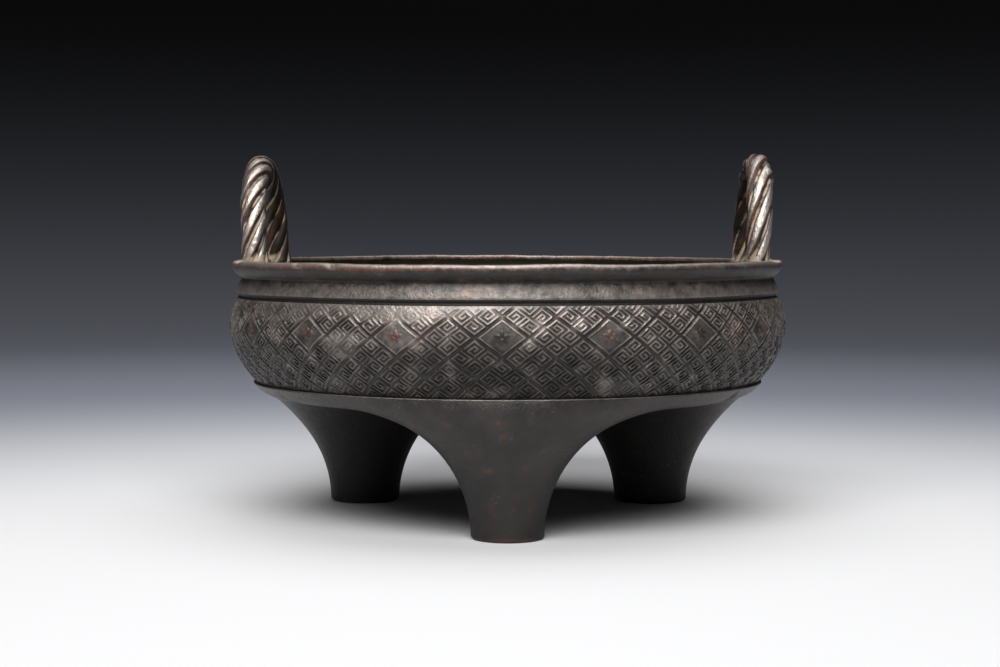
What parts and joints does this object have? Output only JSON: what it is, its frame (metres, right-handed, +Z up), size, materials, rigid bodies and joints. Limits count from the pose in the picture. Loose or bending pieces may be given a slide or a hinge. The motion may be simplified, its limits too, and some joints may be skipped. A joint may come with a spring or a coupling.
{
  "type": "tripod incense burner",
  "caption": "Squat round bronze bowl on trumpet legs, with a lozenge-diapered belly, collared neck, flat lip and rope-twist loop handles, for burning incense in ash.",
  "frame": {"origin": "on the ground under the upright axis of the bowl", "axes": "+Z up, -Y towards the front foot, +X towards the right handle"},
  "size_m": [0.1812, 0.1814, 0.1177],
  "materials": {
    "bronze": "dark brown patinated cast bronze, satin, with warm brown wear on the edges and pale residue in the hollows"
  },
  "bodies": {
    "root": {"censer": "bronze"}
  },
  "joints": []
}
